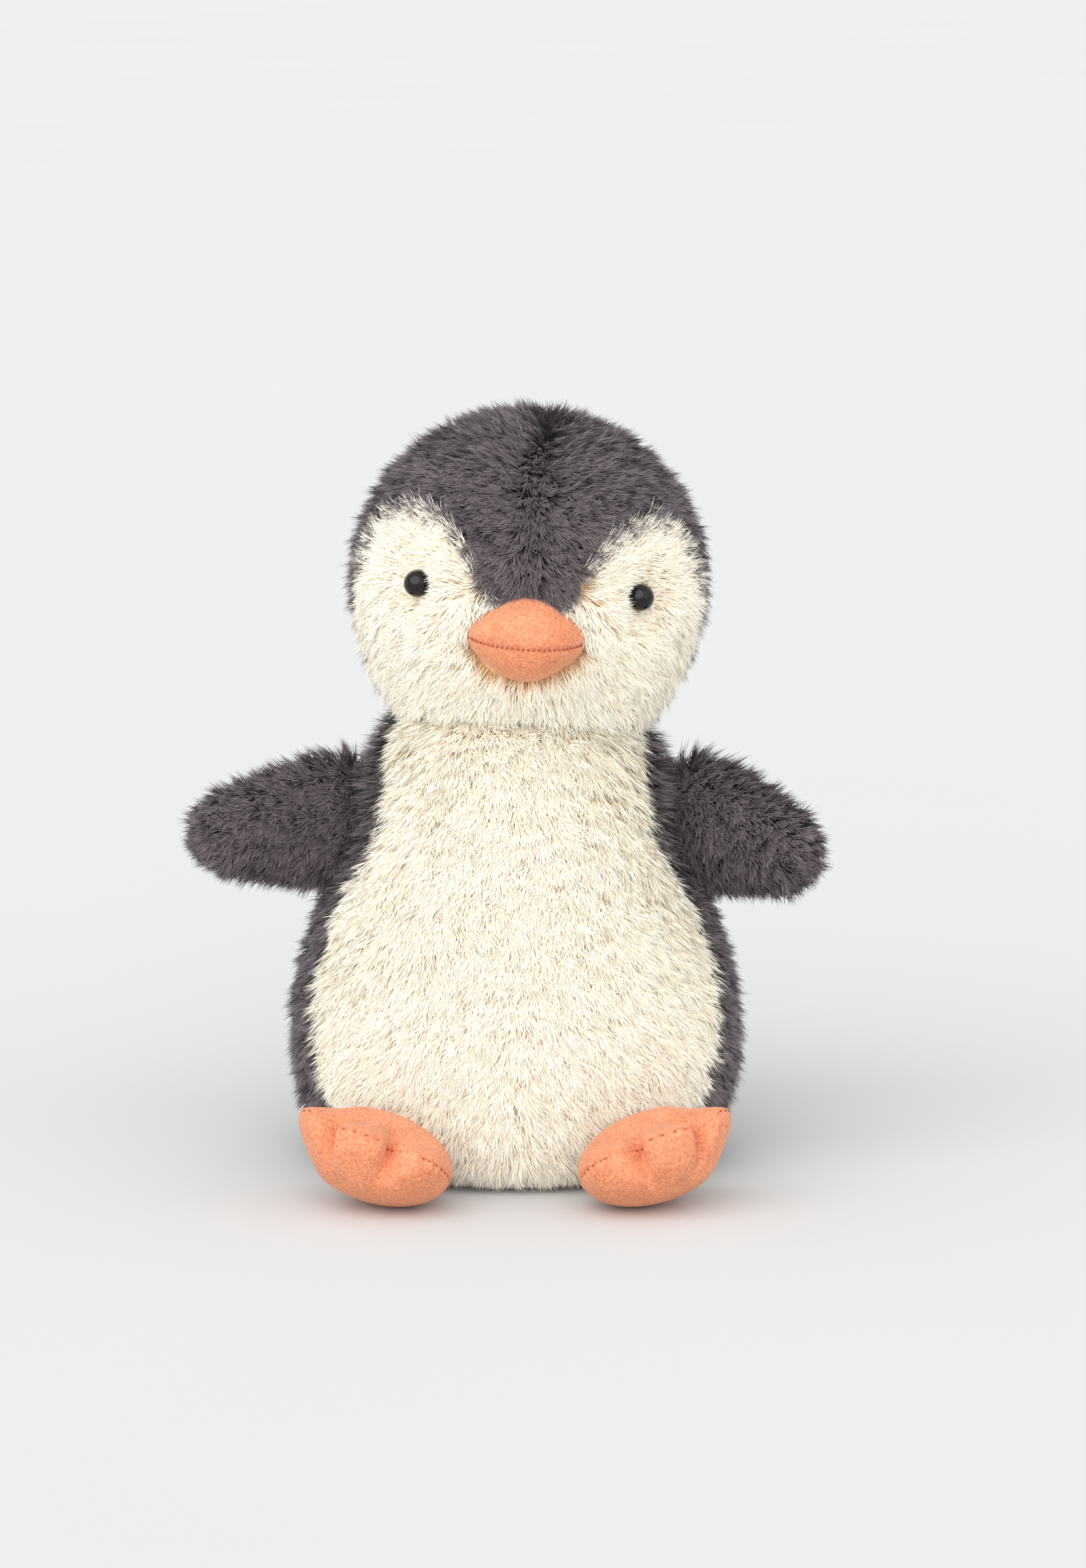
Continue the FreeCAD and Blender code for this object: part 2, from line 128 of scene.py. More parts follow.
FOOT_HALF_WIDTH = 0.023
FOOT_HALF_LENGTH = 0.020
FOOT_HALF_HEIGHT = 0.0135
FOOT_TOE_OUT = math.radians(16)
FOOT_ROLL = math.radians(14)
FOOT_TILT = math.radians(30)

SIDES = {"right": -1, "left": 1}


# ---------------------------------------------------------------- small tools

def unit(v):
    return v / np.maximum(np.linalg.norm(v, axis=-1, keepdims=True), 1e-12)


def across(v, n):
    """The part of v that lies along the surface with normal n, as a unit vector."""
    return unit(v - n * np.sum(v * n, axis=-1, keepdims=True))


def smooth(x, low, high):
    t = np.clip((x - low) / (high - low), 0, 1)
    return t * t * (3 - 2 * t)


def ripple(p, scale, seed):
    """Soft noise between about -1 and 1, from a few sine waves in set directions."""
    waves = np.random.default_rng(seed)
    total = np.zeros(len(p))
    for _ in range(6):
        direction = unit(waves.normal(size=3))
        total += np.sin(p @ direction * (2 * math.pi / scale) * waves.uniform(0.6, 1.6)
                        + waves.uniform(0, 2 * math.pi))
    return total / 3


def turned_directions(directions, matrix):
    return directions @ np.array(matrix)[:3, :3].T


def turned(points, matrix):
    return turned_directions(points, matrix) + np.array(matrix)[:3, 3]


def follow(x, knots):
    """A smooth curve through knots of (place, value)."""
    at = np.array([k[0] for k in knots])
    value = np.array([k[1] for k in knots])
    slope = np.gradient(value, at)
    i = np.clip(np.searchsorted(at, x) - 1, 0, len(at) - 2)
    span = at[i + 1] - at[i]
    t = np.clip((x - at[i]) / span, 0, 1)
    return ((2 * t ** 3 - 3 * t ** 2 + 1) * value[i]
            + (t ** 3 - 2 * t ** 2 + t) * span * slope[i]
            + (3 * t ** 2 - 2 * t ** 3) * value[i + 1]
            + (t ** 3 - t ** 2) * span * slope[i + 1])


# ---------------------------------------------------------------- surfaces of the toy
# Each takes u and v from 0 to 1 and gives points at the fabric's level, under the pile.

def body_surface(u, v):
    """The pear of the body and the ball of its neck: v runs from the base to the neck."""
    angle = u * 2 * math.pi
    top = NECK[2] + NECK_RADIUS * NECK_COVERED
    z = v * top
    fullness = follow(z / NECK[2], BODY_SECTIONS)
    wide = NECK_RADIUS + (BODY_HALF_WIDTH - NECK_RADIUS) * fullness - PILE
    deep = NECK_RADIUS + (BODY_HALF_DEPTH - NECK_RADIUS) * fullness - PILE
    ball = np.sqrt(np.maximum((NECK_RADIUS - PILE) ** 2 - (z - NECK[2]) ** 2, 0))
    mix = smooth(z, COLLAR - 0.008, COLLAR + 0.003)
    wide = wide * (1 - mix) + ball * mix
    deep = deep * (1 - mix) + ball * mix
    lift = BASE_LEVEL * (1 - v)
    return np.stack([wide * np.cos(angle), deep * np.sin(angle), z + lift], axis=-1)


def base_surface(u, v):
    """The flat base: v runs from its middle to its edge."""
    angle = u * 2 * math.pi
    wide = NECK_RADIUS + (BODY_HALF_WIDTH - NECK_RADIUS) * BODY_SECTIONS[0][1] - PILE
    deep = NECK_RADIUS + (BODY_HALF_DEPTH - NECK_RADIUS) * BODY_SECTIONS[0][1] - PILE
    return np.stack([wide * v * np.cos(angle), -deep * v * np.sin(angle),
                     np.full_like(u, BASE_LEVEL)], axis=-1)


HEAD_MATRIX = (Matrix.Translation(Vector(NECK))
               @ Matrix.Rotation(HEAD_ROLL, 4, "Y") @ Matrix.Rotation(-HEAD_PITCH, 4, "X"))


def head_surface(u, v):
    """The head about the neck's pivot: v runs from under the jaw to the crown."""
    angle = u * 2 * math.pi
    rise = (v - 0.5) * math.pi
    tall = np.where(rise > 0, CROWN_HEIGHT, JAW_HEIGHT) - PILE
    return np.stack([(HEAD_HALF_WIDTH - PILE) * np.cos(rise) * np.cos(angle),
                     (HEAD_HALF_DEPTH - PILE) * np.cos(rise) * np.sin(angle),
                     HEAD_RISE + tall * np.sin(rise)], axis=-1)


def flipper_surface(u, v):
    """A flipper along X from its round root: v runs from the root's back to the tip."""
    angle = u * 2 * math.pi
    half_height = FLIPPER_HALF_HEIGHT - PILE
    length = FLIPPER_LENGTH - PILE
    along = -half_height + np.minimum(v / TIP_FROM, 1) * (length + half_height)
    rounded = np.sqrt(np.maximum(1 - np.minimum(along / half_height, 0) ** 2, 0))
    closed = np.sqrt(np.maximum(1 - np.maximum((v - TIP_FROM) / TIP_SHARE, 0) ** 2, 0))
    size = rounded * closed * follow(np.clip(along / length, 0, 1), FLIPPER_SECTIONS)
    bulge = np.maximum(v - TIP_FROM, 0) / TIP_SHARE * TIP_BULGE
    near_root = 1 - smooth(along, ROOT_RAISED_FROM, ROOT_RAISED_TO)
    raised = 1 + ROOT_RAISED * near_root * (np.sin(angle) > 0)
    return np.stack([along + bulge, size * (FLIPPER_HALF_THICKNESS - PILE) * np.cos(angle),
                     size * half_height * np.sin(angle) * raised], axis=-1)


def flipper_matrix(name):
    """A flipper's own X points from its hinge to its tip."""
    side = SIDES[name]
    forward, droop = FLIPPER_TURNS[name]
    heading = 180 + forward if side < 0 else -forward
    place = Matrix.Translation(Vector(JOINTS[f"flipper_{name}_raise"]["pos_m"]))
    return (place @ Matrix.Rotation(math.radians(heading), 4, "Z")
            @ Matrix.Rotation(math.radians(droop), 4, "Y"))


# ---------------------------------------------------------------- pile

# Length and width of a strand, radius of a lock at its root (clump), and lean in degrees from
# upright at root and tip. Gather is how far a lock's tips draw together. Stray scatters the
# strands sideways, bend turns whole locks aside, and lean scatters their lean in degrees.
CREAM = {"length": 0.0090, "width": 0.00036, "clump": 0.0012, "root": 30, "tip": 76,
         "gather": 0.60, "stray": 0.10, "bend": 0.32, "lean": 9}
CHARCOAL = {"length": 0.0084, "width": 0.00034, "clump": 0.0011, "root": 20, "tip": 68,
            "gather": 0.70, "stray": 0.08, "bend": 0.48, "lean": 14}
STRANDS_PER_LOCK = 8
STRANDS_PER_SQUARE_MM = 7.6
MOST_STRANDS = 62000
# Places along a strand, and its width there as a share of the full width.
SPANS = (0.0, 0.52, 1.0)
WIDTHS = (1.0, 0.85, 0.0)
# Ranges of length from lock to lock and from strand to strand in a lock.
LOCK_LENGTHS = (0.8, 1.12)
STRAND_LENGTHS = (0.78, 1.05)
STRAY_AT_TIP = 3
ROLL_SPREAD = 0.35
LEAST_LEAN, MOST_LEAN = 5, 80


def frames(surface, u, v):
    """Points of a surface with their outward normals."""
    step = 1e-4
    p = surface(u, v)
    along_u = surface(u + step, v) - surface(u - step, v)
    along_v = surface(u, np.clip(v + step, 0, 1)) - surface(u, np.clip(v - step, 0, 1))
    return p, unit(np.cross(along_u, along_v))


def scatter(surface, keep):
    """Roots for locks, spread evenly over the part of a surface that keep allows."""
    cells = 200
    u, v = np.meshgrid(np.arange(cells) / cells, np.arange(cells) / cells)
    u, v = u.ravel(), v.ravel()
    corner = surface(u, v)
    a = surface(u + 1 / cells, v) - corner
    b = surface(u, np.minimum(v + 1 / cells, 1)) - corner
    area = np.linalg.norm(np.cross(a, b), axis=1)
    area = area * keep(corner + (a + b) / 2)
    wanted = min(area.sum() * 1e6 * STRANDS_PER_SQUARE_MM, MOST_STRANDS)
    count = int(wanted / STRANDS_PER_LOCK * (1))
    chosen = RANDOM.choice(len(area), size=count, p=area / area.sum())
    u = u[chosen] + RANDOM.random(count) / cells
    v = np.clip(v[chosen] + RANDOM.random(count) / cells, 0, 1)
    inside = keep(surface(u, v))
    return u[inside], v[inside]


def strands(p, n, comb, kind, length_share, lean_share):
    """Tapered locks from roots p: vertices, faces as runs of corners, UVs and shading normals."""
    count = len(p)
    side = unit(np.cross(n, comb))
    lock_bend = RANDOM.normal(0, kind["bend"], (count, 1))
    comb = unit(comb + side * lock_bend)
    side = unit(np.cross(n, comb))
    lean = RANDOM.normal(0, kind["lean"], (count, 1))
    lock_length = (kind["length"] * RANDOM.uniform(*LOCK_LENGTHS, (count, 1))
                   * length_share[:, None])
    lock_shade = RANDOM.normal(0.5, 0.15, count)

    def spread(x):
        return np.repeat(x, STRANDS_PER_LOCK, axis=0)

    total = count * STRANDS_PER_LOCK
    radius = np.sqrt(RANDOM.random((total, 1))) * kind["clump"]
    around = RANDOM.uniform(0, 2 * math.pi, (total, 1))
    root_n, root_comb, root_side = spread(n), spread(comb), spread(side)
    offset = radius * (np.cos(around) * root_comb + np.sin(around) * root_side)
    length = spread(lock_length) * RANDOM.uniform(*STRAND_LENGTHS, (total, 1))
    stray = RANDOM.normal(0, kind["stray"], (total, 1))
    roll = RANDOM.normal(0, ROLL_SPREAD, (total, 1))
    path = spread(p)
    points, lines = [], []
    previous = 0.0
    for span in SPANS:
        angle = (kind["root"] + (kind["tip"] - kind["root"]) * (previous + span) / 2
                 + spread(lean))
        angle = np.radians(np.clip(angle, LEAST_LEAN, MOST_LEAN)) * spread(lean_share[:, None])
        direction = np.cos(angle) * root_n + np.sin(angle) * root_comb
        direction = unit(direction + root_side * stray * STRAY_AT_TIP * span)
        path = path + direction * length * (span - previous)
        points.append(path + offset * (1 - kind["gather"] * span))
        lines.append(direction)
        previous = span
    verts, normals, uvs = [], [], []
    shade = np.clip(spread(lock_shade[:, None]) + RANDOM.normal(0, 0.10, (total, 1)), 0.02, 0.98)
    for number, (span, point, line) in enumerate(zip(SPANS, points, lines)):
        ribbon = unit(np.cross(line, root_n) + 1e-9)
        flat = np.cross(ribbon, line)
        ribbon = unit(np.cos(roll) * ribbon + np.sin(roll) * flat)
        facing = np.cross(ribbon, line)
        facing = facing * np.sign(np.sum(facing * root_n, axis=1, keepdims=True) + 1e-9)
        normal = unit(0.4 * root_n + 0.6 * facing)
        half = ribbon * (kind["width"] / 2 * WIDTHS[number])
        ends = (point - half, point + half) if number < 2 else (point,)
        for end in ends:
            verts.append(end)
            normals.append(normal)
            uvs.append(np.concatenate([shade, np.full((total, 1), span)], axis=1))
    verts = np.stack(verts, axis=1)
    normals = np.stack(normals, axis=1)
    uvs = np.stack(uvs, axis=1)
    # Wind each ribbon so that it faces away from the fabric.
    outward = np.cross(verts[:, 1] - verts[:, 0], verts[:, 2] - verts[:, 0])
    flip = np.sum(outward * root_n, axis=1) < 0
    verts[flip] = verts[flip][:, [1, 0, 3, 2, 4]]
    start = np.arange(total)[:, None] * 5
    quads = start + [0, 1, 3, 2]
    tips = start + [2, 3, 4]
    return verts.reshape(-1, 3), normals.reshape(-1, 3), uvs.reshape(-1, 2), quads, tips


def backing(surface, keep, cells_u, cells_v):
    """The fabric that the pile grows from, over the part of a surface that keep allows."""
    u, v = np.meshgrid(np.arange(cells_u + 1) / cells_u, np.arange(cells_v + 1) / cells_v)
    p, n = frames(surface, u.ravel(), v.ravel())
    row = cells_u + 1
    i = (np.arange(cells_v)[:, None] * row + np.arange(cells_u)).ravel()[:, None]
    quads = i + [0, 1, row + 1, row]
    middle = p[quads].mean(axis=1)
    quads = quads[keep(middle)]
    used, index = np.unique(quads, return_inverse=True)
    return p[used], n[used], index.reshape(quads.shape)


NO_TRIANGLES = np.zeros((0, 3), int)


def add_object(name, data):
    obj = bpy.data.objects.new(name, data)
    bpy.context.scene.collection.objects.link(obj)
    return obj


def mesh_object(name, verts, quads, tris=NO_TRIANGLES, uvs=None, normals=None):
    """A mesh object from arrays, with its texture coordinates and shading normals."""
    mesh = bpy.data.meshes.new(name)
    corners = np.concatenate([quads.ravel(), tris.ravel()])
    starts = np.concatenate([np.arange(len(quads)) * 4,
                             len(quads) * 4 + np.arange(len(tris)) * 3])
    mesh.vertices.add(len(verts))
    mesh.vertices.foreach_set("co", verts.astype(np.float32).ravel())
    mesh.loops.add(len(corners))
    mesh.loops.foreach_set("vertex_index", corners.astype(np.int32))
    mesh.polygons.add(len(starts))
    mesh.polygons.foreach_set("loop_start", starts.astype(np.int32))
    if uvs is not None:
        layer = mesh.uv_layers.new(name="OFBake")
        layer.data.foreach_set("uv", uvs[corners].astype(np.float32).ravel())
    mesh.update(calc_edges=True)
    mesh.validate()
    mesh.polygons.foreach_set("use_smooth", np.ones(len(mesh.polygons), dtype=bool))
    if normals is not None:
        mesh.normals_split_custom_set_from_vertices(normals.astype(np.float32))
    return add_object(name, mesh)


def plush(node_name, surface, keep, comb, kind, coat, body, matrix=None, grain=(150, 90),
          length=None, roots=None, lean=None):
    """One plush panel: its backing with its pile, in place of the CAD node of the same name.

    keep says where the backing is, and roots where the pile is if that is less. length and lean
    give each lock's length and lean as shares of the full ones.
    """
    skin, skin_n, skin_quads = backing(surface, keep, *grain)
    u, v = scatter(surface, roots or keep)
    p, n = frames(surface, u, v)
    even = np.ones(len(p))
    verts, normals, uvs, quads, tips = strands(
        p, n, comb(p, n), kind, length(p) if length else even, lean(p) if lean else even)
    skin_uv = np.tile([0.5, 0.0], (len(skin), 1))
    first = len(skin)
    all_verts = np.concatenate([skin, verts])
    all_normals = np.concatenate([skin_n, normals])
    all_uvs = np.concatenate([skin_uv, uvs])
    if matrix is not None:
        all_verts = turned(all_verts, matrix)
        all_normals = turned_directions(all_normals, matrix)
    all_verts[:, 2] = np.maximum(all_verts[:, 2], FLOOR_CLEARANCE)
    obj = mesh_object(f"plush_{node_name}", all_verts,
                      np.concatenate([skin_quads, quads + first]), tips + first, all_uvs,
                      all_normals)
    finish_piece(obj, coat, body, node_name)


def finish_piece(obj, coat, body, *nodes):
    obj.data.materials.clear()
    obj.data.materials.append(coat)
    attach(obj, body)
    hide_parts(*nodes)


# ---------------------------------------------------------------- materials

def material(name):
    made = bpy.data.materials.new(name)
    made.use_nodes = True
    nodes = made.node_tree.nodes
    nodes.clear()
    out = nodes.new("ShaderNodeOutputMaterial")
    shader = nodes.new("ShaderNodeBsdfPrincipled")
    made.node_tree.links.new(shader.outputs[0], out.inputs[0])
    return made, shader


def node(tree, kind, inputs=(), **settings):
    """A shader node with its settings, and its inputs as values or as links."""
    made = tree.nodes.new(kind)
    for key, value in settings.items():
        setattr(made, key, value)
    for key, value in dict(inputs).items():
        if isinstance(value, bpy.types.NodeSocket):
            tree.links.new(value, made.inputs[key])
        else:
            made.inputs[key].default_value = value
    return made


def ramp(tree, factor, stops):
    made = tree.nodes.new("ShaderNodeValToRGB")
    elements = made.color_ramp.elements
    while len(elements) < len(stops):
        elements.new(0.5)
    for element, (place, colour) in zip(elements, stops):
        element.position = place
        element.color = (*colour, 1)
    tree.links.new(factor, made.inputs[0])
    return made.outputs[0]


def multiplied(tree, a, b):
    """The product of two colours. A colour mix has them on sockets 6 and 7."""
    made = node(tree, "ShaderNodeMix", {0: 1.0}, data_type="RGBA", blend_type="MULTIPLY")
    tree.links.new(a, made.inputs[6])
    tree.links.new(b, made.inputs[7])
    return made.outputs[2]


def pile_material(name, lengthwise, shades, roughness, sheen, sheen_tint):
    """Pile coloured from root to tip, with locks lighter and darker than their neighbours."""
    made, shader = material(name)
    tree = made.node_tree
    place = node(tree, "ShaderNodeUVMap", uv_map="OFBake")
    split = node(tree, "ShaderNodeSeparateXYZ", {0: place.outputs[0]})
    along = ramp(tree, split.outputs[1], lengthwise)
    lock = ramp(tree, split.outputs[0], shades)
    colour = multiplied(tree, along, lock)
    tree.links.new(colour, shader.inputs["Base Color"])
    shader.inputs["Roughness"].default_value = roughness
    shader.inputs["Sheen Weight"].default_value = sheen
    shader.inputs["Sheen Roughness"].default_value = 0.5
    shader.inputs["Sheen Tint"].default_value = (*sheen_tint, 1)
    shader.inputs["Specular IOR Level"].default_value = 0.25
    return made


def suede_material(name, low, high):
    """Microsuede: a short brushed nap, mottled with painted sheen: lighter and darker in broad patches where the
    nap lies different ways.
    """
    made, shader = material(name)
    tree = made.node_tree
    place = node(tree, "ShaderNodeTexCoord")
    nap = node(tree, "ShaderNodeTexNoise", {"Vector": place.outputs["Object"], "Scale": 1250.0,
                                            "Detail": 4.0, "Roughness": 0.65})
    brushed = node(tree, "ShaderNodeTexNoise", {"Vector": place.outputs["Object"], "Scale": 90.0,
                                                "Detail": 3.0, "Roughness": 0.6})
    fine = ramp(tree, nap.outputs["Fac"], [(0.30, low), (0.62, high)])
    # Painted sheen: broad patches of the suede made lighter and darker where its nap lies different ways.
    painted_nap_sheen = ramp(tree, brushed.outputs["Fac"],
                 [(0.30, (0.88, 0.84, 0.82)), (0.70, (1.05, 1.05, 1.05))])
    colour = multiplied(tree, fine, painted_nap_sheen)
    tree.links.new(colour, shader.inputs["Base Color"])
    bump = node(tree, "ShaderNodeBump", {"Height": nap.outputs["Fac"], "Strength": 0.6,
                                         "Distance": 0.0005})
    tree.links.new(bump.outputs[0], shader.inputs["Normal"])
    shader.inputs["Roughness"].default_value = 0.92
    shader.inputs["Specular IOR Level"].default_value = 0.15
    shader.inputs["Sheen Weight"].default_value = 0.35
    shader.inputs["Sheen Roughness"].default_value = 0.45
    shader.inputs["Sheen Tint"].default_value = (1.0, 0.72, 0.52, 1)
    return made


def speckled_material(name, low, high, scale, roughness, bump_height):
    """A plain stuff with a fine uneven grain: fibre, lining, beans, moulded plastic, thread."""
    made, shader = material(name)
    tree = made.node_tree
    place = node(tree, "ShaderNodeTexCoord")
    grain = node(tree, "ShaderNodeTexNoise", {"Vector": place.outputs["Object"], "Scale": scale,
                                              "Detail": 3.0})
    colour = ramp(tree, grain.outputs["Fac"], [(0.3, low), (0.7, high)])
    tree.links.new(colour, shader.inputs["Base Color"])
    bump = node(tree, "ShaderNodeBump", {"Height": grain.outputs["Fac"], "Strength": 0.4,
                                         "Distance": bump_height})
    tree.links.new(bump.outputs[0], shader.inputs["Normal"])
    shader.inputs["Roughness"].default_value = roughness
    return made


def eye_material():
    """Glossy black plastic with a thin coat."""
    made, shader = material("eye_black")
    tree = made.node_tree
    place = node(tree, "ShaderNodeTexCoord")
    haze = node(tree, "ShaderNodeTexNoise", {"Vector": place.outputs["Object"], "Scale": 260.0,
                                             "Detail": 2.0})
    colour = ramp(tree, haze.outputs["Fac"],
                  [(0.3, (0.002, 0.002, 0.002)), (0.7, (0.005, 0.005, 0.005))])
    tree.links.new(colour, shader.inputs["Base Color"])
    shader.inputs["Roughness"].default_value = 0.12
    shader.inputs["Specular IOR Level"].default_value = 0.3
    shader.inputs["Coat Weight"].default_value = 0.2
    shader.inputs["Coat Roughness"].default_value = 0.03
    return made


CREAM_PILE = pile_material(
    "cream_pile",
    [(0.0, (0.96, 0.66, 0.38)), (0.32, (0.98, 0.83, 0.61)), (0.60, (1.0, 0.955, 0.84)),
     (1.0, (1.0, 0.99, 0.945))],
    [(0.0, (0.97, 0.90, 0.78)), (0.5, (0.99, 0.98, 0.94)), (1.0, (1.0, 1.0, 1.0))],
    0.75, 0.25, (1.0, 0.97, 0.9))
CHARCOAL_PILE = pile_material(
    "charcoal_pile",
    [(0.0, (0.022, 0.017, 0.018)), (0.4, (0.062, 0.048, 0.051)), (0.75, (0.150, 0.123, 0.128)),
     (1.0, (0.300, 0.262, 0.268))],
    [(0.0, (0.55, 0.54, 0.54)), (0.5, (0.98, 0.97, 0.97)), (1.0, (1.45, 1.44, 1.44))],
    0.65, 0.3, (0.75, 0.70, 0.75))
ORANGE_SUEDE = suede_material("orange_suede", (0.56, 0.175, 0.080), (0.90, 0.370, 0.205))
SEAM_THREAD = speckled_material("seam_thread", (0.30, 0.05, 0.03), (0.45, 0.10, 0.05), 2500, 0.7,
                                0.0001)
EYE_BLACK = eye_material()
FIBRE = speckled_material("fibre", (0.72, 0.72, 0.70), (0.88, 0.88, 0.86), 900, 0.95, 0.0006)
LINING = speckled_material("lining", (0.68, 0.67, 0.64), (0.80, 0.79, 0.76), 2200, 0.9, 0.0002)
BEANS = speckled_material("beans", (0.55, 0.55, 0.53), (0.85, 0.85, 0.83), 420, 0.5, 0.0015)
WASHER = speckled_material("washer", (0.80, 0.80, 0.78), (0.86, 0.86, 0.84), 700, 0.45, 0.0001)


# ---------------------------------------------------------------- the pile's regions and lie

def in_front_of_seam(p):
    """In front of the side seam, which leans back upwards and comes forward at the flippers."""
    at_flipper = np.exp(-((p[:, 2] - NECK[2] + SEAM_BUMP_DROP) / SEAM_BUMP_SPREAD) ** 2)
    forward = SEAM_FORWARD + SEAM_BUMP * at_flipper
    above = p[:, 2] - NECK[2] - SEAM_ABOVE_NECK
    return (p[:, 1] + forward) * math.cos(SEAM_LEAN) - above * math.sin(SEAM_LEAN) < 0


def body_comb(p, n):
    """Down the body, and away from the belly's middle seam low on it."""
    down = np.tile([0.0, 0.0, -1.0], (len(p), 1))
    apart = smooth(np.abs(p[:, 0]), 0, 0.007) * smooth(NECK[2] - p[:, 2], 0.02, 0.07) * 0.50
    down[:, 0] = np.sign(p[:, 0]) * apart + 0.35 * ripple(p, 0.03, 5)
    return across(down, n)


def base_comb(p, n):
    """Out from the middle of the base."""
    return across(p * [1, 1, 0] + 1e-6, n)


def body_length(p):
    """Full length, and shorter where the pile is pinched: under the head and at the base."""
    high = 1 - 0.72 * smooth(p[:, 2], NECK[2] + 0.021, NECK[2] + 0.029)
    return high * (0.55 + 0.45 * smooth(p[:, 2], 0.001, 0.012))


def at_shoulder(p):
    """1 on the sides of the body over the flippers, and 0 away from them."""
    return (smooth(np.abs(p[:, 0]), 0.026, 0.038)
            * smooth(p[:, 2], NECK[2] - 0.008, NECK[2] + 0.004))


def back_length(p):
    return body_length(p) * (1 + 0.5 * at_shoulder(p))


def back_lean(p):
    """The shoulders' pile stands up from the body."""
    return 1 - 0.45 * at_shoulder(p)


def in_face(p):
    """Inside the outline of the cheeks, or under the beak where they meet."""
    side = np.where(p[:, 0] < 0, -1, 1)
    x = (p[:, 0] - side * CHEEK_OFFSET) * side
    z = p[:, 2] - CHEEK_MIDDLE
    wide = x * math.cos(CHEEK_LEAN) - z * math.sin(CHEEK_LEAN)
    wide = wide / (CHEEK_HALF_WIDTH - np.where(wide > 0, CHEEK_SHORTFALL, 0))
    high = (x * math.sin(CHEEK_LEAN) + z * math.cos(CHEEK_LEAN)) / CHEEK_HALF_HEIGHT
    under = (np.abs(p[:, 0]) < CHEEK_OFFSET) & (p[:, 2] < BEAK_MIDDLE[2])
    return (p[:, 1] < 0) & ((wide ** 2 + high ** 2 < 1) | under)


def off_neck(p):
    """Outside the neck's ball, which is at the origin of the head's own frame."""
    return np.linalg.norm(p, axis=1) > NECK_RADIUS + NECK_GAP


def off_beak(p, share):
    """Outside a beak that is scaled by share."""
    q = (p - BEAK_MIDDLE) / (BEAK_SIZE * share)
    return np.sum(q ** 2, axis=1) > 1


def eye_places():
    """The middles of the eyes' domes, in the head's own frame."""
    places = []
    back = HEAD_MATRIX.inverted()
    for name, side in SIDES.items():
        low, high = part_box(f"eye_{name}")
        front = Vector((low.x + EYE_RADIUS if side < 0 else high.x - EYE_RADIUS,
                        low.y + EYE_RADIUS, (low.z + high.z) / 2))
        places.append(np.array(back @ front))
    return places


EYE_PLACES = eye_places()


def off_eyes(p):
    clear = np.ones(len(p), dtype=bool)
    for place in EYE_PLACES:
        clear &= np.linalg.norm(p - place, axis=1) > EYE_CLEAR
    return clear


def from_beak(p):
    """Distance from the beak's skin, roughly, with 0 on it and 1 a beak's size away."""
    q = (p - BEAK_MIDDLE) / BEAK_SIZE
    return np.linalg.norm(q, axis=1) - 1


def face_length(p):
    """Full length, and shorter round the eyes."""
    nearest = np.min([np.linalg.norm(p - place, axis=1) for place in EYE_PLACES], axis=0)
    return 0.40 + 0.60 * smooth(nearest, 0.005, 0.0125)


def face_lean(p):
    """Locks beside the beak stand up, so that they lie over its edges."""
    return 0.55 + 0.45 * smooth(from_beak(p), 0.0, 0.45)


def face_comb(p, n):
    """Out from the beak and downwards, and less outwards along the cheeks' outer edges."""
    out = unit((p - BEAK_MIDDLE) * [1, 0.3, 1])
    out[:, 2] -= 1.1 - 0.9 * smooth(p[:, 2], CHEEK_MIDDLE, CHEEK_MIDDLE + 0.026)
    out[:, 0] += np.sign(p[:, 0]) * 0.25 + 0.30 * ripple(p, 0.025, 3)
    out[:, 0] *= 1 - 0.7 * smooth(np.abs(p[:, 0]), 0.032, 0.042)
    beside = (1 - smooth(from_beak(p), 0.15, 0.5)) * (p[:, 2] > BEAK_MIDDLE[2])
    out = out + beside[:, None] * (np.array([0, 0, -1.6]) - out * [1.2, 0, 0])
    return across(out, n)


def hood_comb(p, n):
    """Away from a parting over the middle of the crown, and downwards below it."""
    front = smooth(-p[:, 1], -0.02, 0.03)
    low = smooth(HEAD_RISE + 0.030 - p[:, 2], 0, 0.035)
    out = np.zeros_like(p)
    out[:, 0] = np.sign(p[:, 0]) * smooth(np.abs(p[:, 0]), 0, 0.006) * (0.55 + 0.65 * front)
    out[:, 1] = 0.35 - 0.75 * front
    out[:, 2] = -0.35 - 0.9 * low
    out[:, 0] += 0.40 * ripple(p, 0.028, 4)
    out[:, 1] += 0.30 * ripple(p, 0.024, 8)
    return across(out, n)


def flipper_length(p):
    """Longer at the root, where it covers the join with the body."""
    return 1.25 - 0.25 * smooth(p[:, 0], 0.0, FLIPPER_LENGTH * 0.6)


def flipper_comb(p, n):
    """Along the flipper to its tip, and a little downwards."""
    out = np.tile([1.0, 0.0, -0.35], (len(p), 1))
    out[:, 1] += 0.2 * ripple(p, 0.02, 6)
    return across(out, n)


def everywhere(p):
    return np.ones(len(p), dtype=bool)


def base_length(p):
    """Short all over, since the toy sits on it."""
    return np.full(len(p), 0.35)


def make_body():
    for name, side in SIDES.items():
        def half(p, side=side):
            return (p[:, 0] * side >= 0) & (p[:, 2] > BASE_TOP * 0.4)

        def belly(p, half=half):
            return half(p) & in_front_of_seam(p)

        def back(p, half=half):
            return half(p) & ~in_front_of_seam(p)

        plush(f"belly_{name}", body_surface, belly, body_comb, CREAM, CREAM_PILE, "torso",
              length=body_length)
        plush(f"back_{name}", body_surface, back, body_comb, CHARCOAL, CHARCOAL_PILE, "torso",
              length=back_length, lean=back_lean)
    plush("base_panel", base_surface, everywhere, base_comb, CHARCOAL, CHARCOAL_PILE, "torso",
          grain=(120, 40), length=base_length)


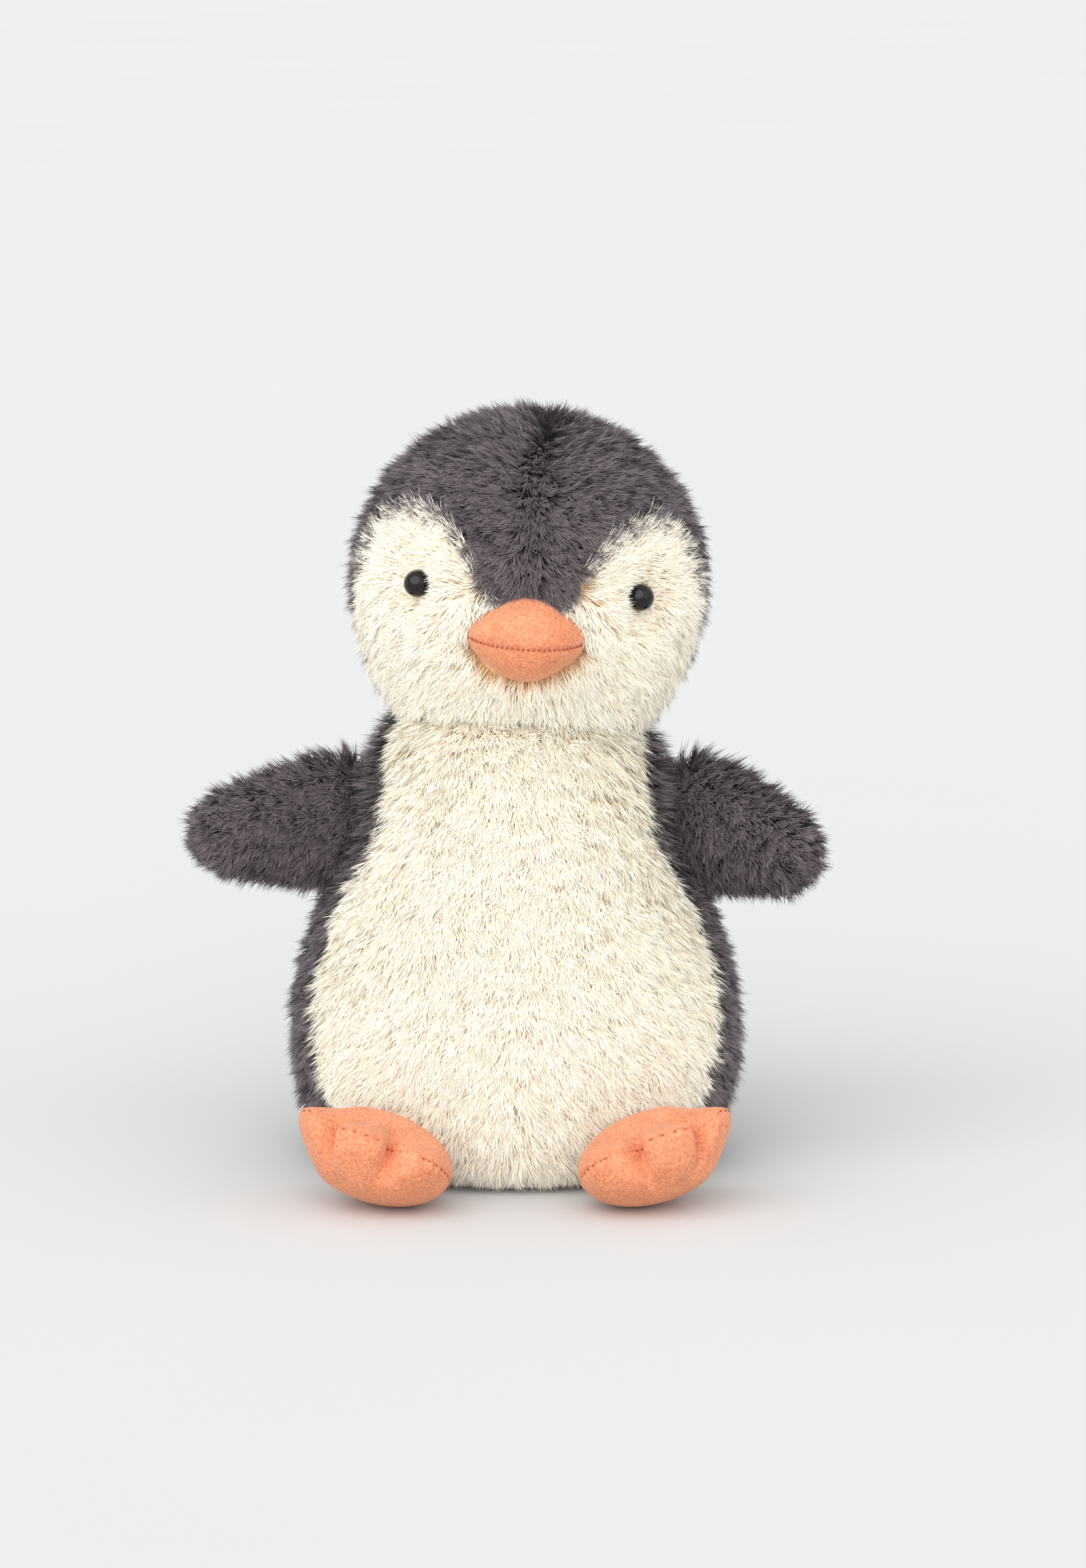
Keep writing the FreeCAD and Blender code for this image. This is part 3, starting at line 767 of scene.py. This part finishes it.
def make_head():
    for name, side in SIDES.items():
        def half(p, side=side):
            return (p[:, 0] * side >= 0) & off_neck(p) & off_beak(p, NO_BACKING)

        def cheek(p, half=half):
            return half(p) & in_face(p)

        def hood(p, half=half):
            return half(p) & ~in_face(p)

        def cheek_roots(p, cheek=cheek):
            return cheek(p) & off_eyes(p) & off_beak(p, NO_CHEEK_PILE)

        def hood_roots(p, hood=hood):
            return hood(p) & off_beak(p, NO_HOOD_PILE)

        plush(f"cheek_{name}", head_surface, cheek, face_comb, CREAM, CREAM_PILE, "head",
              matrix=HEAD_MATRIX, grain=(160, 120), roots=cheek_roots, length=face_length,
              lean=face_lean)
        plush(f"hood_{name}", head_surface, hood, hood_comb, CHARCOAL, CHARCOAL_PILE, "head",
              matrix=HEAD_MATRIX, grain=(160, 120), roots=hood_roots, lean=face_lean)


def make_flippers():
    for name, side in SIDES.items():
        for face, sign in (("front", -side), ("back", side)):
            # A flipper's own Y points backwards on the left and forwards on the right.
            def half(p, sign=sign):
                return p[:, 1] * sign >= 0

            plush(f"flipper_{name}_{face}", flipper_surface, half, flipper_comb, CHARCOAL,
                  CHARCOAL_PILE, f"flipper_{name}", matrix=flipper_matrix(name), grain=(60, 50),
                  length=flipper_length)


# ---------------------------------------------------------------- suede pieces

def sphere_grid(across_count, around_count):
    """Directions over a sphere whose poles lie on X, and the quads that join them."""
    polar = np.linspace(0, math.pi, across_count + 1)
    around = np.arange(around_count) / around_count * 2 * math.pi
    a, b = np.meshgrid(polar, around, indexing="ij")
    directions = np.stack([-np.cos(a), np.sin(a) * np.cos(b), np.sin(a) * np.sin(b)], axis=-1)
    i, j = np.meshgrid(np.arange(across_count), np.arange(around_count), indexing="ij")
    following = (j + 1) % around_count
    quads = np.stack([i * around_count + j, i * around_count + following,
                      (i + 1) * around_count + following, (i + 1) * around_count + j], axis=-1)
    return directions.reshape(-1, 3), quads.reshape(-1, 4)


STITCH_LENGTH = 0.0010
# Size of a suede piece's stuffing as a share of the suede round it.
FILLING_SHARE = 0.92


def split_by(points, quads, height, body, coat, nodes):
    """Two suede panels: the quads above a seam, and those below it."""
    above = height[quads].mean(axis=1) > 0
    for node_name, chosen in zip(nodes, (quads[above], quads[~above])):
        used, index = np.unique(chosen, return_inverse=True)
        obj = mesh_object(f"suede_{node_name}", points[used], index.reshape(chosen.shape))
        weld(obj)
        finish_piece(obj, coat, body, node_name)


def weld(obj):
    """Joins the poles' doubled points and points every face outwards."""
    shape = bmesh.new()
    shape.from_mesh(obj.data)
    bmesh.ops.remove_doubles(shape, verts=shape.verts, dist=1e-6)
    bmesh.ops.recalc_face_normals(shape, faces=shape.faces)
    shape.to_mesh(obj.data)
    shape.free()
    for polygon in obj.data.polygons:
        polygon.use_smooth = True


def stitches(name, path, normals, length, radius, body):
    """Short stitches along a seam, each a little bead of thread."""
    beads, quads = sphere_grid(6, 8)
    verts, faces = [], []
    for number in range(len(path) - 1):
        here, there = path[number], path[number + 1]
        along = unit(there - here)
        up = unit(normals[number] - along * (normals[number] @ along))
        side = np.cross(along, up)
        shape = (beads[:, :1] * along * length / 2 + beads[:, 1:2] * side * radius
                 + beads[:, 2:] * up * radius)
        verts.append(shape + (here + there) / 2)
        faces.append(quads + number * len(beads))
    obj = mesh_object(name, np.concatenate(verts), np.concatenate(faces))
    weld(obj)
    obj.data.materials.append(SEAM_THREAD)
    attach(obj, body)


def seam_line(count, reach):
    """Directions along a seam from side to side through the front, within reach degrees."""
    angle = np.linspace(math.radians(-reach), math.radians(reach), count + 1)
    return np.stack([np.sin(angle), -np.cos(angle), np.zeros_like(angle)], axis=-1)


def mouth_height(p):
    """Height above the mouth's plane, which droops to the front."""
    q = p - BEAK_MIDDLE
    return q[:, 2] * math.cos(MOUTH_DROOP) - q[:, 1] * math.sin(MOUTH_DROOP)


MOUTH_CREASE_WIDTH = 0.0009
MOUTH_CREASE_DEPTH = 0.0004
# Where the stitches of the mouth lie, as a share of the beak's size.
MOUTH_STITCHES = 0.985


def beak_shape(directions):
    """A plump beak, a little pointed at its corners, pulled in along the mouth."""
    corner = 1 - 0.10 * np.abs(directions[:, :1]) ** 2 * (directions[:, 2:] ** 2) * 4
    p = BEAK_MIDDLE + directions * BEAK_SIZE * corner
    crease = np.exp(-(mouth_height(p) / MOUTH_CREASE_WIDTH) ** 2) * MOUTH_CREASE_DEPTH
    return p - directions * crease[:, None]


def make_beak():
    directions, quads = sphere_grid(150, 220)
    p = beak_shape(directions)
    height = mouth_height(p)
    world = turned(p, HEAD_MATRIX)
    split_by(world, quads, height, "head", ORANGE_SUEDE, ("beak_upper", "beak_lower"))
    filling("beak_stuffing", world, quads, "head")
    line = seam_line(30, 80)
    path = BEAK_MIDDLE + line * BEAK_SIZE * MOUTH_STITCHES
    path[:, 2] += (path[:, 1] - BEAK_MIDDLE[1]) * math.tan(MOUTH_DROOP)
    stitches("beak_stitches", turned(path, HEAD_MATRIX), turned_directions(line, HEAD_MATRIX),
             STITCH_LENGTH, 0.00030, "head")


# Bearings from straight ahead, in radians and positive outwards: of the notches beside the inner
# and the outer toe, and of the three toes' middles. Then the angular spread of each.
TOE_NOTCHES = (-0.45, 0.58)
TOE_MIDDLES = (-0.95, 0.06, 1.10)
NOTCH_SPREAD = 0.14
TOE_SPREAD = 0.34
# Heights over which the toes, the seam's puckers and its crease fade.
TOE_FADE = 0.0095
PUCKER_FADE = 0.0022
SEAM_FADE = 0.0008
OUTER_TOE_LIFT = 0.0035


def foot_shape(directions, side):
    """A padded foot about its own middle: three toes to -Y, drawn in at the seam and notches."""
    p = directions * np.array([FOOT_HALF_WIDTH, FOOT_HALF_LENGTH, FOOT_HALF_HEIGHT])
    outward = directions[:, 0] * side
    bearing = np.arctan2(outward, -directions[:, 1])
    rim = np.sqrt(directions[:, 0] ** 2 + directions[:, 1] ** 2)
    notch = sum(np.exp(-((bearing - at) / NOTCH_SPREAD) ** 2) for at in TOE_NOTCHES)
    toe = sum(np.exp(-((bearing - at) / TOE_SPREAD) ** 2) for at in TOE_MIDDLES)
    level = np.exp(-(np.minimum(p[:, 2] + 0.0015, 0) / TOE_FADE) ** 2)
    pucker = (np.sin(bearing * 34 + 2 * np.sin(bearing * 5))
              * np.exp(-(p[:, 2] / PUCKER_FADE) ** 2))
    seam = np.exp(-(p[:, 2] / SEAM_FADE) ** 2)
    reach = (-0.42 * notch * level + 0.07 * toe * level + 0.010 * pucker
             - 0.025 * seam) * rim ** 2
    # The upper is flatter than the sole towards the toes, and the outer toe turns up.
    flatter = 0.62 * smooth(-directions[:, 1], -0.15, 0.75) + 0.30 * smooth(outward, 0.35, 0.9)
    p[:, 2] *= np.where(p[:, 2] > 0, 1 - np.minimum(flatter, 0.72), 1)
    p[:, 2] += (OUTER_TOE_LIFT * smooth(bearing, 0.62, 1.0) * smooth(rim, 0.45, 0.95)
                * (bearing < 2.4))
    return p * (1 + reach)[:, None]


def foot_matrix(name):
    """A foot's own frame, at the middle of the box round both of its CAD panels."""
    side = SIDES[name]
    low_u, high_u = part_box(f"foot_{name}_upper")
    low_s, high_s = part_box(f"foot_{name}_sole")
    low = Vector([min(a, b) for a, b in zip(low_u, low_s)])
    high = Vector([max(a, b) for a, b in zip(high_u, high_s)])
    return (Matrix.Translation((low + high) / 2) @ Matrix.Rotation(side * FOOT_TOE_OUT, 4, "Z")
            @ Matrix.Rotation(-side * FOOT_ROLL, 4, "Y") @ Matrix.Rotation(-FOOT_TILT, 4, "X"))


def filling(node_name, points, quads, body):
    """The stuffing of a suede piece, a little inside the suede all round."""
    centre = points.mean(axis=0)
    obj = mesh_object(f"filling_{node_name}", centre + (points - centre) * FILLING_SHARE, quads)
    weld(obj)
    finish_piece(obj, FIBRE, body, node_name)


def make_feet():
    directions, quads = sphere_grid(220, 260)
    for name, side in SIDES.items():
        matrix = foot_matrix(name)
        world = turned(foot_shape(directions, side), matrix)
        split_by(world, quads, directions[:, 2], f"foot_{name}", ORANGE_SUEDE,
                 (f"foot_{name}_upper", f"foot_{name}_sole"))
        filling(f"foot_{name}_stuffing", world, quads, f"foot_{name}")
        line = seam_line(52, 115)
        stitches(f"foot_{name}_stitches", turned(foot_shape(line, side), matrix),
                 turned_directions(line, matrix), STITCH_LENGTH, 0.00018, f"foot_{name}")


# ---------------------------------------------------------------- carried-over pieces

def dress_frame():
    """Materials for the CAD pieces that stay: eyes, washers, stuffing, pouch and beans."""
    looks = {"eye": EYE_BLACK, "washer": WASHER, "stuffing": FIBRE, "lining": LINING,
             "beans": BEANS}
    for name, obj in frame["nodes"].items():
        if SLOTS[name] in looks:
            obj.data.materials.clear()
            obj.data.materials.append(looks[SLOTS[name]])


# ---------------------------------------------------------------- studio

# The view's tilt and distance, the width that it takes in there, and the point it looks at.
VIEW_TILT = math.radians(10)
VIEW_DISTANCE = 1.6
VIEW_WIDTH = 0.3192
VIEW_TARGET = Vector((0.008, 0, 0.1117))


def make_camera():
    data = bpy.data.cameras.new("camera")
    camera = add_object("camera", data)
    data.sensor_fit = "HORIZONTAL"
    data.sensor_width = 36
    data.lens = data.sensor_width * VIEW_DISTANCE / VIEW_WIDTH
    away = Vector((0, -math.cos(VIEW_TILT), math.sin(VIEW_TILT)))
    camera.location = VIEW_TARGET + away * VIEW_DISTANCE
    camera.rotation_euler = Euler((math.pi / 2 - VIEW_TILT, 0, 0))
    data.clip_start = 0.05
    data.clip_end = 50
    bpy.context.scene.camera = camera


def make_floor():
    """A wide, pale floor that runs out of sight."""
    span = 30.0
    verts = np.array([(-span, -span, 0.0), (span, -span, 0.0), (span, span, 0.0),
                      (-span, span, 0.0)])
    floor = mesh_object("floor", verts, np.array([[0, 1, 2, 3]]))
    made, shader = material("studio_floor")
    tree = made.node_tree
    place = node(tree, "ShaderNodeTexCoord")
    grain = node(tree, "ShaderNodeTexNoise", {"Vector": place.outputs["Object"], "Scale": 3.0})
    colour = ramp(tree, grain.outputs["Fac"],
                  [(0.3, (0.635, 0.635, 0.635)), (0.7, (0.645, 0.645, 0.645))])
    tree.links.new(colour, shader.inputs["Base Color"])
    shader.inputs["Roughness"].default_value = 1.0
    shader.inputs["Specular IOR Level"].default_value = 0.0
    floor.data.materials.append(made)


def soft_sun(name, bearing, height, spread, power):
    """Even light from far away: bearing is 0 from the camera's side and positive from its right."""
    data = bpy.data.lights.new(name, "SUN")
    data.angle = math.radians(spread)
    data.energy = power
    lamp = add_object(name, data)
    lamp.rotation_euler = Euler((math.radians(90 - height), 0, math.radians(bearing)))


def make_light():
    world = bpy.data.worlds.new("studio")
    bpy.context.scene.world = world
    world.use_nodes = True
    background = world.node_tree.nodes["Background"]
    background.inputs[0].default_value = (1.0, 1.0, 1.0, 1)
    background.inputs[1].default_value = 0.88
    soft_sun("key", -25, 36, 75, 2.1)
    soft_sun("fill", 45, 25, 70, 0.60)
    bpy.context.scene.view_settings.view_transform = "Standard"


make_camera()
make_floor()
make_light()
dress_frame()
make_body()
make_head()
make_flippers()
make_beak()
make_feet()
